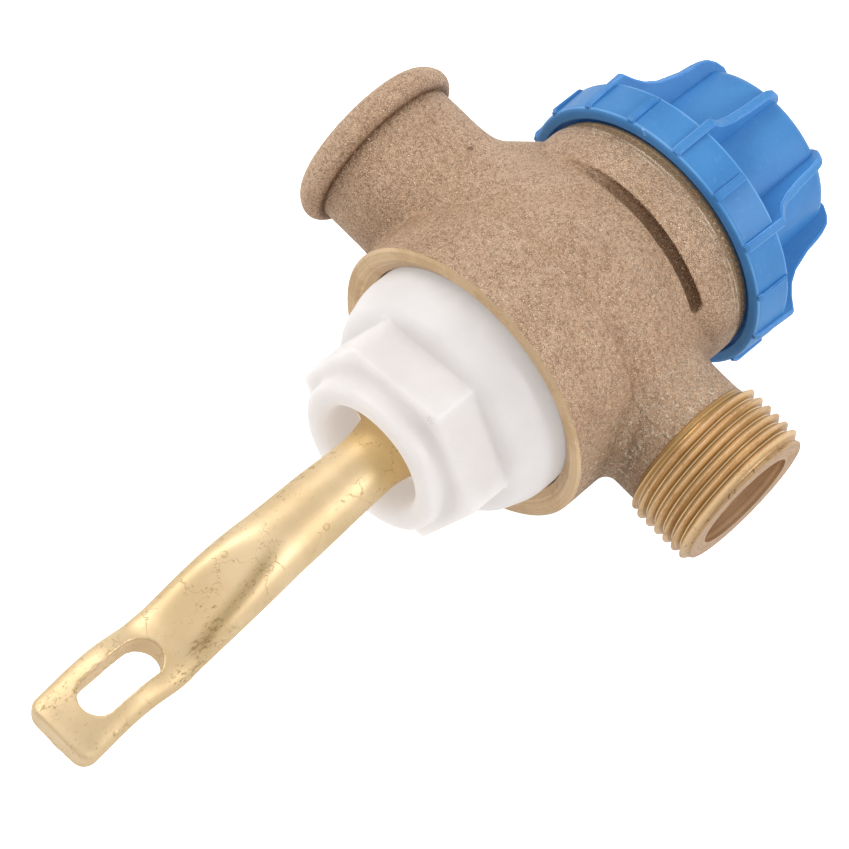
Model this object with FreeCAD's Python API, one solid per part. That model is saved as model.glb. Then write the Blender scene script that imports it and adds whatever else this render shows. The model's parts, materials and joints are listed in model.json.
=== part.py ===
import FreeCAD, Part
import math
import os

# Foot-operated valve: a self-closing valve worked by a loose lever.
# Millimetres. X runs with the flow, from inlet to outlet. Y runs along the stem, from the lever
# to the cap. Z is up. The origin is on the inlet's axis, where its thread starts.
# Pieces are drawn with the stem's axis at x = 0 and moved to their place when they are saved.

# Ports
inlet_reach = 42.1          # inlet mouth to the stem's axis
outlet_reach = 42.8         # stem's axis to the outlet's end
tube_r = 13.3               # inlet tube
bead_r = 15.5               # cast bead at the inlet's mouth
bead_w = 4.9
inlet_bore_r = 9.5          # wall of the inlet's thread
inlet_depth = 14.0
mouth_cone_l = 1.3          # countersink in front of the thread
thread_r = 13.22            # outlet thread, over its crests
thread_start = 30.4
neck_r = 11.7
belly_r = 23.5              # flow way at the stem
outlet_bore_r = 8.8
outlet_depth = 15.0
passage_r = 5.6             # slanting ways to and from the chambers

# Barrel about the stem
ring_y = -20.3              # machined front ring
ring_r = 24.8
drum_y = -6.3               # back of the drum behind the ring
drum_blend = 2.2
barrel_r = 20.4             # rear barrel, in front of the cap's flange
rear_blend = 5.0
web_r = 13.0                # slanting way from the inlet to the rear chamber, seen outside
web_x = -20.7
web_angle = 50.7
groove_y = 12.05            # crescent grooves in front of the rear flange
groove_r = 1.05
groove_sweep = 22.5         # they run on a circle off the stem's axis, so they fade out toward the inlet
groove_off = 2.23
groove_lean = 60.0          # degrees from X, where they are deepest
groove_from = 37.0
groove_span = 97.0
bevel_r = 22.8              # bevel inside the front ring
bevel_l = 1.3
counter_r = 20.75           # counterbore for the collar of the lever nut
counter_y = -16.8
nut_bore_r = 18.1
guide_bore_r = 15.2
guide_y = -13.0             # end of the lever nut, on the stem guide
chamber_r = 13.5
wet_y = -10.0               # floor of the outlet's chamber
partition = (-1.0, 3.0)     # wall between the two chambers
seat_bore_r = 9.2
flange_out_r = 21.6         # cast rear flange
rear_r = 21.35              # machined ring at the cap
rear_y = 22.0
spigot_r = 18.2             # carries the cap
spigot_y = 25.6

# Lever nut
collar_r = 20.5             # sits inside the front ring
hex_r = 18.1                # over the corners
hex_angle = 10.5
hex_front = -37.0
hex_rear = -28.3
lip_r = 13.5
lip_y = -41.1
mouth_r = 9.4
shelf_y = -33.5             # inner shoulder that the lever's flange rocks on
room_r = 13.2

# Lever
lever_droop = 3.9           # degrees that it hangs down at rest
lever_sway = 1.1            # degrees to the outlet's side at rest
lever_shift = 0.15          # it also lies a little to that side
flange_r = 12.2
flange_t = 3.0
lever_len = 74.4
slot_from = 53.6
slot_to = 69.0
slot_half = 3.3
slot_side = 0.1             # slot a little off the middle, as it was punched

# Gaskets, stem and poppet
gasket_t = 1.2
stem_r = 3.0
button_y = -28.5
button_r = 12.0
seat_lip_y = 3.6

# Cap
skirt_y = 21.6
skirt_rear = 28.7
skirt_r = 24.1
crown_r = 16.3
crown_y = 48.0
fins = 8
fin_angle = 47.6
fin_w = 1.3
fin_r = 25.2                # corner of a fin, behind the skirt
fin_y = 30.1
rib_r = 24.8                # short ribs and the fins' feet on the skirt
cap_mouth_r = 22.0

UP_Y = FreeCAD.Vector(0, 1, 0)
ALONG_X = FreeCAD.Vector(1, 0, 0)
UP_Z = FreeCAD.Vector(0, 0, 1)
CENTRE = FreeCAD.Vector(0, 0, 0)


def vec(x, y, z=0):
    return FreeCAD.Vector(x, y, z)


def outline(steps):
    """Closed wire in the XY plane from points; a list of points inside it is a smooth curve."""
    edges = []
    start = vec(*steps[0])
    here = start
    for step in steps[1:]:
        if isinstance(step, list):
            curve = Part.BSplineCurve()
            curve.interpolate([here] + [vec(*p) for p in step])
            edges.append(curve.toShape())
            here = vec(*step[-1])
        else:
            there = vec(*step)
            edges.append(Part.makeLine(here, there))
            here = there
    if here.distanceToPoint(start) > 1e-6:
        edges.append(Part.makeLine(here, start))
    return Part.Wire(edges)


def turned_y(steps):
    """Solid turned about the stem's axis; points are (radius, y)."""
    return Part.Face(outline(steps)).revolve(CENTRE, UP_Y, 360)


def turned_x(steps):
    """Solid turned about the flow's axis; points are (x, radius)."""
    return Part.Face(outline(steps)).revolve(CENTRE, ALONG_X, 360)


def rod_y(radius, y0, y1):
    return Part.makeCylinder(radius, y1 - y0, vec(0, y0, 0), UP_Y)


def rod_x(radius, x0, x1):
    return Part.makeCylinder(radius, x1 - x0, vec(x0, 0, 0), ALONG_X)


def ring_y_solid(outer, inner, y0, y1):
    return rod_y(outer, y0, y1).cut(rod_y(inner, y0 - 1, y1 + 1))


def rod_between(radius, a, b):
    line = b.sub(a)
    return Part.makeCylinder(radius, line.Length, a, line)


def spun(shape, degrees):
    """The shape turned about the stem, from X toward Z."""
    copy = shape.copy()
    copy.rotate(CENTRE, UP_Y, -degrees)
    return copy


def blended(one, other, radius):
    """Two solids joined, with the edges where they meet rounded as a foundry fillet."""
    shell = one.fuse(other).removeSplitter()
    meeting = []
    for edge in shell.Edges:
        span = edge.LastParameter - edge.FirstParameter
        spots = [Part.Vertex(edge.valueAt(edge.FirstParameter + span * k)) for k in (0.2, 0.5, 0.8)]
        gaps = [solid.Shells[0].distToShape(spot)[0] for solid in (one, other) for spot in spots]
        if max(gaps) < 1e-3:
            meeting.append(edge)
    return shell.makeFillet(radius, meeting)


def crescent(side):
    """Groove in front of the rear flange, above for side 1 and below for side -1."""
    lean = math.radians(groove_lean)
    start = math.radians(groove_from)
    hub = vec(-groove_off * math.cos(lean), groove_y, -side * groove_off * math.sin(lean))
    end = hub.add(vec(groove_sweep * math.cos(start), 0, side * groove_sweep * math.sin(start)))
    along = vec(-math.sin(start), 0, side * math.cos(start))
    section = Part.Face(Part.Wire(Part.makeCircle(groove_r, end, along)))
    return section.revolve(hub, UP_Y, -side * groove_span).fuse(Part.makeSphere(groove_r, end))


def valve_body():
    mouth = -inlet_reach
    # Flow way: a belly about X that narrows to the inlet tube and the outlet neck
    belly = turned_x([
        (mouth + 2, 0), (mouth + 2, tube_r), (-31, tube_r),
        [(-27, 13.5), (-23, 14.4), (-19, 16.0), (-15, 18.2), (-10, 21.0), (-5, 22.9), (0, belly_r),
         (5, 22.8), (10, 20.5), (14, 17.4), (18, 14.2), (21, 12.4), (24, neck_r + 0.1),
         (thread_start + 1, neck_r)],
        (thread_start + 1, 0)])
    belly = belly.common(Part.makeBox(100, 36, 60, vec(-50, -18, -30)))
    slant = math.radians(web_angle)
    web = rod_between(web_r, vec(web_x, 0), vec(web_x + 24 * math.cos(slant), 24 * math.sin(slant)))
    web = web.common(Part.makeBox(80, 40, 60, vec(-50, -19.8, -30)))
    shell = blended(belly, rod_y(barrel_r, 0, 20.4).fuse(web).removeSplitter(), rear_blend)
    drum = turned_y([
        (0, ring_y), (24.4, ring_y), (ring_r, ring_y + 0.4), (ring_r, -18.5),
        [(24.75, -14), (24.6, -9.5), (24.4, -7.6)], [(23.9, -6.7), (22.9, drum_y)], (0, drum_y)])
    shell = blended(shell, drum, drum_blend)
    # Rear flange and the turned ends
    flange = turned_y([
        (0, 9.0), (barrel_r - 0.2, 9.0),
        [(barrel_r + 0.1, 10.8), (20.95, 13.2), (21.4, 15.6), (flange_out_r, 18.0)],
        (flange_out_r, 20.4), (rear_r, 20.65), (rear_r, rear_y), (spigot_r, rear_y), (spigot_r, spigot_y),
        (0, spigot_y)])
    bead = turned_x([
        (mouth, 0), (mouth, 13.5),
        [(mouth + 0.55, 14.3), (mouth + 1.6, 15.1), (mouth + 3.0, bead_r), (mouth + 4.2, 15.05),
         (mouth + bead_w, tube_r)],
        (mouth + bead_w, 0)])
    thread = turned_x([
        (thread_start, 0), (thread_start, neck_r), (thread_start + 0.4, thread_r),
        (outlet_reach - 1.1, thread_r), (outlet_reach, 12.1), (outlet_reach, 0)])
    shell = shell.fuse([flange, bead, thread]).removeSplitter()
    shell = shell.cut([crescent(1), crescent(-1)])

    front = turned_y([
        (0, ring_y - 1), (bevel_r, ring_y - 1), (bevel_r, ring_y), (counter_r, ring_y + bevel_l),
        (counter_r, counter_y), (nut_bore_r, counter_y), (nut_bore_r, guide_y + 0.3),
        (guide_bore_r, guide_y + 0.3), (guide_bore_r, wet_y), (chamber_r, wet_y),
        (chamber_r, partition[0]), (0, partition[0])])
    rear = rod_y(chamber_r, partition[1], spigot_y + 1)
    inlet_way = rod_x(inlet_bore_r, mouth - 1, mouth + inlet_depth).fuse(
        rod_between(passage_r, vec(mouth + inlet_depth - 1, 0), vec(-8, 8.4)))
    inlet_way = inlet_way.fuse(rod_x(7.6, mouth + inlet_depth - 1, mouth + inlet_depth + 2))
    outlet_way = rod_x(outlet_bore_r, outlet_reach - outlet_depth, outlet_reach + 1).fuse(
        rod_between(passage_r, vec(outlet_reach - outlet_depth + 1, 0), vec(8, -5.6)))
    wall = ring_y_solid(chamber_r + 0.5, seat_bore_r, partition[0], partition[1])
    mouth_cone = Part.makeCone(inlet_bore_r + mouth_cone_l, inlet_bore_r, mouth_cone_l,
                               vec(mouth, 0), ALONG_X)
    seat_hole = rod_y(seat_bore_r, partition[0] - 1, partition[1] + 1)
    hollows = [front, rear, inlet_way, outlet_way, mouth_cone, seat_hole]
    return shell.cut(hollows).fuse(wall).removeSplitter()


def hexagon(radius, y0, y1, angle):
    points = []
    for k in range(7):
        a = math.radians(angle + 60 * k)
        points.append(vec(radius * math.cos(a), y0, radius * math.sin(a)))
    return Part.Face(Part.makePolygon(points)).extrude(vec(0, y1 - y0, 0))


def lever_nut():
    hexa = hexagon(hex_r, hex_front, hex_rear + 0.5, hex_angle)
    long_edges = [e for e in hexa.Edges if abs(e.tangentAt(e.FirstParameter).y) > 0.9]
    hexa = hexa.makeFillet(0.9, long_edges)
    front_edges = [e for e in hexa.Edges if abs(e.CenterOfMass.y - hex_front) < 1e-4]
    hexa = hexa.makeFillet(0.7, front_edges)
    collar = turned_y([
        (0, hex_rear), (17.5, hex_rear),
        [(18.6, -27.95), (19.2, -27.4), (19.45, -26.6)], (19.5, -25.2),
        [(19.7, -24.6), (20.2, -24.0), (collar_r, -23.2)], (collar_r, counter_y - gasket_t),
        (17.85, counter_y - gasket_t), (17.85, guide_y), (0, guide_y)])
    lip = turned_y([
        (0, lip_y), (12.3, lip_y),
        [(13.0, -40.85), (13.4, -40.3), (lip_r, -39.6)],
        (lip_r, -38.8),
        [(13.75, -37.9), (14.4, -37.25), (15.3, hex_front)],
        (15.3, -36), (0, -36)])
    hollow = turned_y([
        (0, lip_y - 1), (mouth_r + 1.4, lip_y - 1), (mouth_r + 1.4, lip_y),
        [(mouth_r + 0.55, -40.75), (mouth_r + 0.12, -40.1), (mouth_r, -39.3)],
        (mouth_r, shelf_y), (room_r, shelf_y), (room_r, guide_y + 1), (0, guide_y + 1)])
    return hexa.fuse([collar, lip]).cut(hollow).removeSplitter()


def lever_section(s, half, side, top, bottom, power):
    """Closed smooth section of the lever at distance s from its flange; power 2 is an ellipse."""
    middle = (top + bottom) / 2
    height = (top - bottom) / 2
    points = []
    for k in range(24):
        a = 2 * math.pi * (k + 0.5) / 24
        c = math.cos(a)
        w = math.sin(a)
        x = side + half * math.copysign(abs(c) ** (2 / power), c)
        z = middle + height * math.copysign(abs(w) ** (2 / power), w)
        points.append(vec(x, -s, z))
    curve = Part.BSplineCurve()
    curve.interpolate(points, True)
    return Part.Wire(curve.toShape())


def lever():
    # Sections stand at even steps, so that the skin runs straight between them
    stations = [
        (4.0, 5.15, 0.05, 5.15, -5.15, 2.0),
        (9.0, 5.15, 0.05, 5.15, -5.15, 2.0),
        (14.0, 5.35, 0.0, 5.25, -5.25, 2.0),
        (19.0, 5.62, -0.06, 5.36, -5.40, 2.0),
        (24.0, 5.80, -0.06, 5.45, -5.50, 2.0),
        (28.0, 5.98, -0.08, 5.48, -5.50, 2.05),
        (32.5, 6.25, -0.10, 5.45, -5.40, 2.1),
        (38.5, 6.43, -0.04, 4.90, -5.00, 2.3),
        (45.0, 6.43, 0.12, 3.60, -4.70, 2.5),
        (50.0, 6.41, 0.22, 2.10, -4.50, 2.6),
        (54.5, 6.42, 0.25, 1.35, -4.30, 2.6),
        (58.5, 6.45, 0.08, 2.60, -3.50, 2.5),
        (64.0, 6.46, -0.06, 3.00, -3.00, 2.5),
        (68.0, 6.46, 0.04, 2.40, -3.10, 2.7),
        (71.5, 6.45, 0.15, 1.70, -3.40, 3.0),
        (lever_len + 1, 6.35, 0.18, 1.40, -3.50, 3.0)]
    blade = Part.makeLoft([lever_section(*row) for row in stations], True, False)
    # Flat struck on the upper side, from the shank down to the slot
    flat_a = vec(0, -30.0, 5.7)
    flat_b = vec(0, -53.0, 1.45)
    slope = math.degrees(math.atan2(flat_a.z - flat_b.z, flat_a.y - flat_b.y))
    slab = Part.makeBox(40, 60, 12, vec(-20, -40, 0))
    slab.rotate(CENTRE, ALONG_X, slope)
    slab.translate(flat_a)
    reach = Part.makeBox(40, 38, 40, vec(-20, -53.0, -20))
    blade = blade.cut(slab.common(reach))
    # Tip with rounded corners
    end = -lever_len
    plan = outline([
        (-9, 0), (-9, end + 3.2), (-6.5, end + 3.2), [(-6.0, end + 1.2), (-4.4, end + 0.1)],
        (4.6, end + 0.1), [(6.3, end + 1.2), (6.8, end + 3.2)], (9, end + 3.2), (9, 0)])
    cutter = Part.Face(plan).extrude(vec(0, 0, 40))
    cutter.translate(vec(0, 0, -20))
    blade = blade.common(cutter)
    slot = Part.makeBox(2 * slot_half, slot_to - slot_from - 2 * slot_half, 40,
                        vec(slot_side - slot_half, -slot_to + slot_half, -20))
    ends = [Part.makeCylinder(slot_half, 40, vec(slot_side, -y, -20), UP_Z)
            for y in (slot_from + slot_half, slot_to - slot_half)]
    blade = blade.cut(slot.fuse(ends).removeSplitter())
    root = turned_y([
        (0, flange_t), (flange_r - 0.4, flange_t), (flange_r, flange_t - 0.4), (flange_r, 0),
        (10.2, 0), [(8.0, -0.8), (6.4, -2.8), (5.5, -5.5), (5.1, -8.5)], (0, -8.5)])
    shape = blade.fuse(root).removeSplitter()
    shape.rotate(CENTRE, ALONG_X, lever_droop)
    shape.rotate(CENTRE, UP_Z, lever_sway)
    lift = flange_r * math.sin(math.radians(lever_droop))
    shape.translate(vec(lever_shift, shelf_y + 0.1 + lift, 0))
    return shape


def thrust_button():
    return turned_y([
        (0, button_y), (button_r - 0.5, button_y), (button_r, button_y + 0.5), (button_r, button_y + 1.8),
        (6.0, button_y + 2.4), (5.0, button_y + 6.0), (stem_r, button_y + 6.0), (stem_r, button_y + 2.2),
        (0, button_y + 2.2)])


def valve_stem():
    return turned_y([
        (0, button_y + 2.2), (stem_r, button_y + 2.2), (stem_r, 5.8), (2.5, 5.8), (2.5, 14.0), (2.1, 14.4),
        (0, 14.4)])


def stem_guide():
    guide = turned_y([
        (stem_r + 0.06, -17.5), (6.6, -17.5), (7.0, -17.1), (7.0, guide_y), (15.0, guide_y), (15.0, -10.8),
        (7.4, -10.8), (7.4, -5.5), (stem_r + 0.06, -5.5)])
    return guide.cut(rod_y(5.2, -9.8, -5))


def packing_ring():
    return ring_y_solid(5.15, stem_r + 0.06, -7.4, -5.5)


def stem_o_ring():
    return Part.makeTorus(4.13, 1.0, vec(0, -8.6, 0), UP_Y)


def seat_ring():
    return turned_y([
        (6.2, partition[0]), (seat_bore_r, partition[0]), (seat_bore_r, partition[1]), (9.0, partition[1]),
        (7.4, seat_lip_y), (6.6, seat_lip_y), (6.2, seat_lip_y - 0.4)])


def poppet_holder():
    return turned_y([
        (2.55, 5.8), (8.4, 5.8), (8.4, 4.3), (9.4, 4.3), (9.6, 4.6), (9.6, 8.0), (2.55, 8.0)])


def seat_washer():
    return ring_y_solid(8.4, 3.1, seat_lip_y + 0.1, 5.8)


def washer_plate():
    return turned_y([
        (2.55, 8.0), (9.6, 8.0), (9.6, 9.0), (6.1, 9.0), (6.1, 10.4), (5.0, 10.4), (5.0, 9.0), (2.55, 9.0)])


def stem_nut():
    return hexagon(4.6, 9.0, 12.2, 0).cut(rod_y(2.5, 8, 13))


def return_spring():
    y0 = 9.0
    y1 = 43.3
    wire = 0.8
    radius = 7.2
    turns = 7.0
    height = y1 - y0 - 2 * wire
    helix = Part.makeHelix(height / turns, height, radius)
    start = vec(radius, 0, 0)
    first = helix.Edges[0]
    profile = Part.Wire(Part.makeCircle(wire, start, first.tangentAt(first.FirstParameter)))
    spring = Part.Wire(helix.Edges).makePipeShell([profile], True, True)
    spring.rotate(CENTRE, ALONG_X, -90)
    spring.translate(vec(0, y0 + wire, 0))
    return spring


def spring_seat():
    return turned_y([(0, 43.3), (10.0, 43.3), (10.0, 45.2), (0, 45.2)]).cut(rod_y(2.0, 42, 47)).fuse(
        ring_y_solid(6.1, 4.9, 41.4, 43.4)).removeSplitter()


def cap():
    crown = turned_y([
        (0, skirt_y), (skirt_r - 0.3, skirt_y), (skirt_r, skirt_y + 0.3),
        (skirt_r + 0.25, skirt_rear - 0.35), (skirt_r - 0.1, skirt_rear),
        (crown_r + 1.0, skirt_rear + 0.4), (crown_r, skirt_rear + 1.2),
        (15.7, crown_y - 1.3), [(15.45, crown_y - 0.5), (14.6, crown_y)], (0, crown_y)])
    fin = Part.Face(outline([
        (12.8, 32), (12.8, crown_y + 0.7), (14.2, crown_y + 0.9),
        [(15.0, crown_y + 0.8), (16.6, crown_y - 0.2), (17.7, crown_y - 1.4)],
        [(18.2, 45.2), (18.55, 43.5), (18.9, 40.8), (20.1, 36.4), (21.5, 33.8), (23.1, 32.0),
         (fin_r, fin_y + 0.1)],
        (fin_r, fin_y - 0.3), (rib_r, skirt_y + 0.9), (rib_r - 0.5, skirt_y + 0.2), (23.0, skirt_y + 0.2),
        (23.0, 28.0), (15.0, 29.0)]))
    rib = Part.Face(outline([
        (23.0, skirt_y + 0.2), (rib_r - 0.5, skirt_y + 0.2), (rib_r, skirt_y + 0.9),
        (rib_r, skirt_rear - 0.7), (rib_r - 0.4, skirt_rear - 0.3), (23.0, skirt_rear - 0.3)]))
    blades = []
    for face in (fin, rib):
        blade = face.extrude(vec(0, 0, fin_w))
        blade.translate(vec(0, 0, -fin_w / 2))
        blades.append(blade)
    pitch = 360.0 / fins
    solids = [spun(blades[0], fin_angle + k * pitch) for k in range(fins)]
    solids += [spun(blades[1], fin_angle + (k + 0.5) * pitch) for k in range(fins)]
    hollow = turned_y([
        (0, skirt_y - 1), (cap_mouth_r, skirt_y - 1), (cap_mouth_r, skirt_y + 1.2), (18.45, skirt_y + 1.2),
        (18.45, spigot_y + gasket_t), (12.9, spigot_y + gasket_t), (12.5, 45.2), (0, 45.2)])
    return crown.fuse(solids).cut(hollow).removeSplitter()


def cap_gasket():
    return ring_y_solid(18.0, 13.8, spigot_y, spigot_y + gasket_t)


def nut_gasket():
    return ring_y_solid(20.2, 18.3, counter_y - gasket_t, counter_y)


def guide_gasket():
    return ring_y_solid(15.0, 13.6, -10.8, wet_y)


PIECES = {
    "valve_body": valve_body,
    "seat_ring": seat_ring,
    "lever": lever,
    "lever_nut": lever_nut,
    "nut_gasket": nut_gasket,
    "thrust_button": thrust_button,
    "valve_stem": valve_stem,
    "stem_guide": stem_guide,
    "guide_gasket": guide_gasket,
    "packing_ring": packing_ring,
    "stem_o_ring": stem_o_ring,
    "poppet_holder": poppet_holder,
    "seat_washer": seat_washer,
    "washer_plate": washer_plate,
    "stem_nut": stem_nut,
    "return_spring": return_spring,
    "spring_seat": spring_seat,
    "cap": cap,
    "cap_gasket": cap_gasket,
}

os.makedirs("parts", exist_ok=True)
for name, make in PIECES.items():
    shape = make()
    shape.translate(vec(inlet_reach - mouth_cone_l, 0, 0))
    shape.exportStep("parts/" + name + ".step")
    print(name, "solids", len(shape.Solids), "valid", shape.isValid(), "mm3", round(shape.Volume, 1))
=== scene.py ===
# %% [markdown]
# # Dressing a foot-operated valve
#
# The valve closes by itself: a foot rail pushes the slotted brass lever, the lever rocks in the white nut
# and pushes a stem, and a spring under the blue cap shuts the way again. Its solids come from a CAD program
# and are exact but bare. In this lesson Blender gives them what a camera sees: sand-cast grain, a cut pipe
# thread, soft moulded edges, stains and scratches. The first step loads the solids, which are never moved.

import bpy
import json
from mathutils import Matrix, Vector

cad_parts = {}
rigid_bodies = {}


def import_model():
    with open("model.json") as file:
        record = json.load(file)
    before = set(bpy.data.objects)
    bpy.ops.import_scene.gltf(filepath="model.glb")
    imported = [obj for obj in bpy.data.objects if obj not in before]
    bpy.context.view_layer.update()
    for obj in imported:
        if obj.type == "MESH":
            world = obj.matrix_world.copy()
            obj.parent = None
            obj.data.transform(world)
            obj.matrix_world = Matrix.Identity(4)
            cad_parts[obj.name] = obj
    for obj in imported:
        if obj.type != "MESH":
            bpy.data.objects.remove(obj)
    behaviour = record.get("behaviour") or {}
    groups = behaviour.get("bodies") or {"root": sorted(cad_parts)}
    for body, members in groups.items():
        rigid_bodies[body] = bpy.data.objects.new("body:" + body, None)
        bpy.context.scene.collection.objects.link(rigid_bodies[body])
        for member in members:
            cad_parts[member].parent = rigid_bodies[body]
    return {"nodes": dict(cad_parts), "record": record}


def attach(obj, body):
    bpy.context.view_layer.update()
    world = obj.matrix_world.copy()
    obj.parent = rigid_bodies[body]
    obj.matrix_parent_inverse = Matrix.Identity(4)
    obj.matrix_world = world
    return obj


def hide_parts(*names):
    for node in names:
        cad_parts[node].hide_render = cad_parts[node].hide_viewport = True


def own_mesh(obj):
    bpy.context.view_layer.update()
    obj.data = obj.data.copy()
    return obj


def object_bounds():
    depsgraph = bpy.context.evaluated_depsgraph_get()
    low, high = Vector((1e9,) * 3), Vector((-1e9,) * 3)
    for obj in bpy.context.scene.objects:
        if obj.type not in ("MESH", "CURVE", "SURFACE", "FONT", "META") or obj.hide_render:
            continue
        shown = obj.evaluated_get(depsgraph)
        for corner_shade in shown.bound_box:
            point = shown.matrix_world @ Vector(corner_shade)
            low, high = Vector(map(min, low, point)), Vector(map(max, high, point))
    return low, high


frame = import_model()
solid_low, solid_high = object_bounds()
print("solids:", len(frame["nodes"]), "box in m:", [round(b - a, 4) for a, b in zip(solid_low, solid_high)])

# %% Units and places
import json
import math
from contextlib import contextmanager

import bmesh
import bpy
import numpy as np
from mathutils import Matrix, Vector

MM = 0.001
STEM_X = 40.8                    # the stem's axis runs along Y at this x, in mm
THREAD_START = 71.2              # x where the outlet's thread begins, in mm
OUTLET_END = 83.6                # x of the outlet's end face, in mm
ON_STEM = (STEM_X * MM, 0, 0)    # a point on the stem's axis, in m
ON_FLOW = (0, 0, 0)              # a point on the axis of inlet and outlet, in m
ROUND_STEM = (1, 0, 1)           # the directions across the stem's axis
ROUND_FLOW = (0, 1, 1)           # the directions across the flow's axis
scene = bpy.context.scene
print("stem at x =", STEM_X, "mm, outlet thread from", THREAD_START, "to", OUTLET_END, "mm")

# %% [markdown]
# ## Camera
#
# The photograph looks down on the valve with a long lens and a turned horizon. Three angles and a distance
# say where the camera stands; a matrix built from its own right, up and back arrows places it without any
# tracking constraint, so nothing shifts later.

# %% Camera at the photograph's angle
AZIMUTH, ELEVATION, ROLL = 25.333, 59.548, 22.255            # degrees
DISTANCE, LEFTWARD, DOWNWARD = 0.7122, 0.019593, 0.017486    # m from the stem's axis
LENS, SENSOR = 193.4, 36.0                                   # mm
NEAREST, FARTHEST = 0.05, 20.0                               # m that the camera sees


def camera_arrows(azimuth, elevation, roll):
    """Right, up and back arrows of a camera that looks at the valve from these angles, in degrees."""
    a, e, r = (math.radians(v) for v in (azimuth, elevation, roll))
    back = Vector((math.sin(a) * math.cos(e), -math.cos(a) * math.cos(e), math.sin(e)))
    level = Vector((math.cos(a), math.sin(a), 0.0))
    right = level * math.cos(r) + back.cross(level) * math.sin(r)
    return right, back.cross(right), back


right, up, back = camera_arrows(AZIMUTH, ELEVATION, ROLL)
camera = bpy.data.objects.new("camera", bpy.data.cameras.new("camera"))
scene.collection.objects.link(camera)
camera.data.lens = LENS
camera.data.sensor_width = SENSOR
camera.data.clip_start = NEAREST
camera.data.clip_end = FARTHEST
stand = Vector(ON_STEM) + back * DISTANCE - right * LEFTWARD - up * DOWNWARD
camera.matrix_world = Matrix.Translation(stand) @ Matrix((right, up, back)).transposed().to_4x4()
scene.camera = camera
print("camera stands at", [round(v, 4) for v in stand])

# %% [markdown]
# ## Light and floor
#
# The photograph was taken in a white light tent: shadows are faint, and every metal mirrors something pale.
# A bright even world gives that, and one soft box at each side models the forms. The floor is a pale sheet
# that touches the lowest point of the valve.

# %% White tent
TENT_TONE = (1.0, 0.995, 0.985, 1)
TENT_STRENGTH = 0.68

scene.view_settings.view_transform = "Standard"
tent = bpy.data.worlds.new("white tent")
tent.use_nodes = True
sky = tent.node_tree.nodes["Background"].inputs
sky["Color"].default_value = TENT_TONE
sky["Strength"].default_value = TENT_STRENGTH
scene.world = tent
print("tent strength:", TENT_STRENGTH)

# %% Two soft lamps
def lamp(name, offset, size, watts, tone=(1.0, 1.0, 1.0)):
    """A square soft lamp, this far from the middle of the valve in m, turned toward it."""
    light = bpy.data.lights.new(name, "AREA")
    light.size = size
    light.energy = watts
    light.color = tone
    holder = bpy.data.objects.new(name, light)
    scene.collection.objects.link(holder)
    middle = (solid_low + solid_high) / 2
    holder.location = middle + Vector(offset)
    holder.rotation_euler = (middle - holder.location).to_track_quat("-Z", "Y").to_euler()


lamp("left lamp", (-0.52, -0.04, 0.44), size=0.34, watts=2.2, tone=(1.0, 0.985, 0.96))
lamp("right lamp", (0.48, 0.28, 0.42), size=0.30, watts=2.0)

# %% Pale floor
FLOOR_REACH = 3.0       # m to each side
FLOOR_GAP = 0.0002      # m under the lowest point

floor_z = solid_low.z - FLOOR_GAP
corners = [(x * FLOOR_REACH, y * FLOOR_REACH, floor_z) for x, y in ((-1, -1), (1, -1), (1, 1), (-1, 1))]
floor_mesh = bpy.data.meshes.new("floor")
floor_mesh.from_pydata(corners, [], [(0, 1, 2, 3)])
floor = bpy.data.objects.new("floor", floor_mesh)
scene.collection.objects.link(floor)
print("floor at z =", round(floor_z, 4))

# %% [markdown]
# ## A small tool box for node trees
#
# Procedural materials are many small nodes. A handful of helpers, each for one kind of node, keeps the
# recipes readable: plug a socket, do a sum, make clouds, map a range, mix two colours.

# %% Sockets and sums
def feed(tree, source, socket):
    """Plug one socket into another, or set a plain value."""
    if isinstance(source, bpy.types.NodeSocket):
        tree.links.new(source, socket)
    else:
        socket.default_value = source


def new_node(tree, kind, **sources):
    """A node of this kind, with its inputs set by name."""
    node = tree.nodes.new("ShaderNode" + kind)
    for label, source in sources.items():
        feed(tree, source, node.inputs[label])
    return node


def calc(tree, operation, *terms):
    """One sum on numbers; each term is a socket or a value."""
    node = new_node(tree, "Math")
    node.operation = operation
    for socket, term in zip(node.inputs, terms):
        feed(tree, term, socket)
    return node.outputs[0]


def times(tree, one, other):
    return calc(tree, "MULTIPLY", one, other)


def vector_calc(tree, operation, *terms):
    """One sum on vectors; lengths and distances come out as a number."""
    node = new_node(tree, "VectorMath")
    node.operation = operation
    for socket, term in zip(node.inputs, terms):
        feed(tree, term, socket)
    return node.outputs["Value" if operation in ("LENGTH", "DISTANCE") else "Vector"]


# %% Clouds, ranges and bumps
def clouds(tree, place, scale, detail=2.0, rough=0.5):
    """Soft noise from about 0.3 to 0.7, with this many lumps to a metre."""
    node = new_node(tree, "TexNoise", Vector=place, Scale=scale, Detail=detail, Roughness=rough)
    return node.outputs["Fac"]


def stretch(tree, value, low, high, start=0.0, stop=1.0):
    """A soft step: start below low, stop above high."""
    node = new_node(tree, "MapRange")
    node.interpolation_type = "SMOOTHSTEP"
    for socket, source in zip(node.inputs, (value, low, high, start, stop)):
        feed(tree, source, socket)
    return node.outputs["Result"]


def window(tree, value, low, high, soft):
    """1 between two values, fading to 0 over a soft edge."""
    rise = stretch(tree, value, low, low + soft)
    return times(tree, rise, stretch(tree, value, high, high - soft))


def raised(tree, height, depth, under=None):
    """A bump of this depth in mm, laid over another bump if one is given."""
    node = new_node(tree, "Bump", Distance=depth * MM, Height=height)
    if under is not None:
        feed(tree, under, node.inputs["Normal"])
    return node.outputs["Normal"]


# %% Colours
MIX_SHARE, MIX_UNDER, MIX_OVER, MIX_RESULT = 0, 6, 7, 2      # the sockets of a Mix node that are for colours


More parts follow.
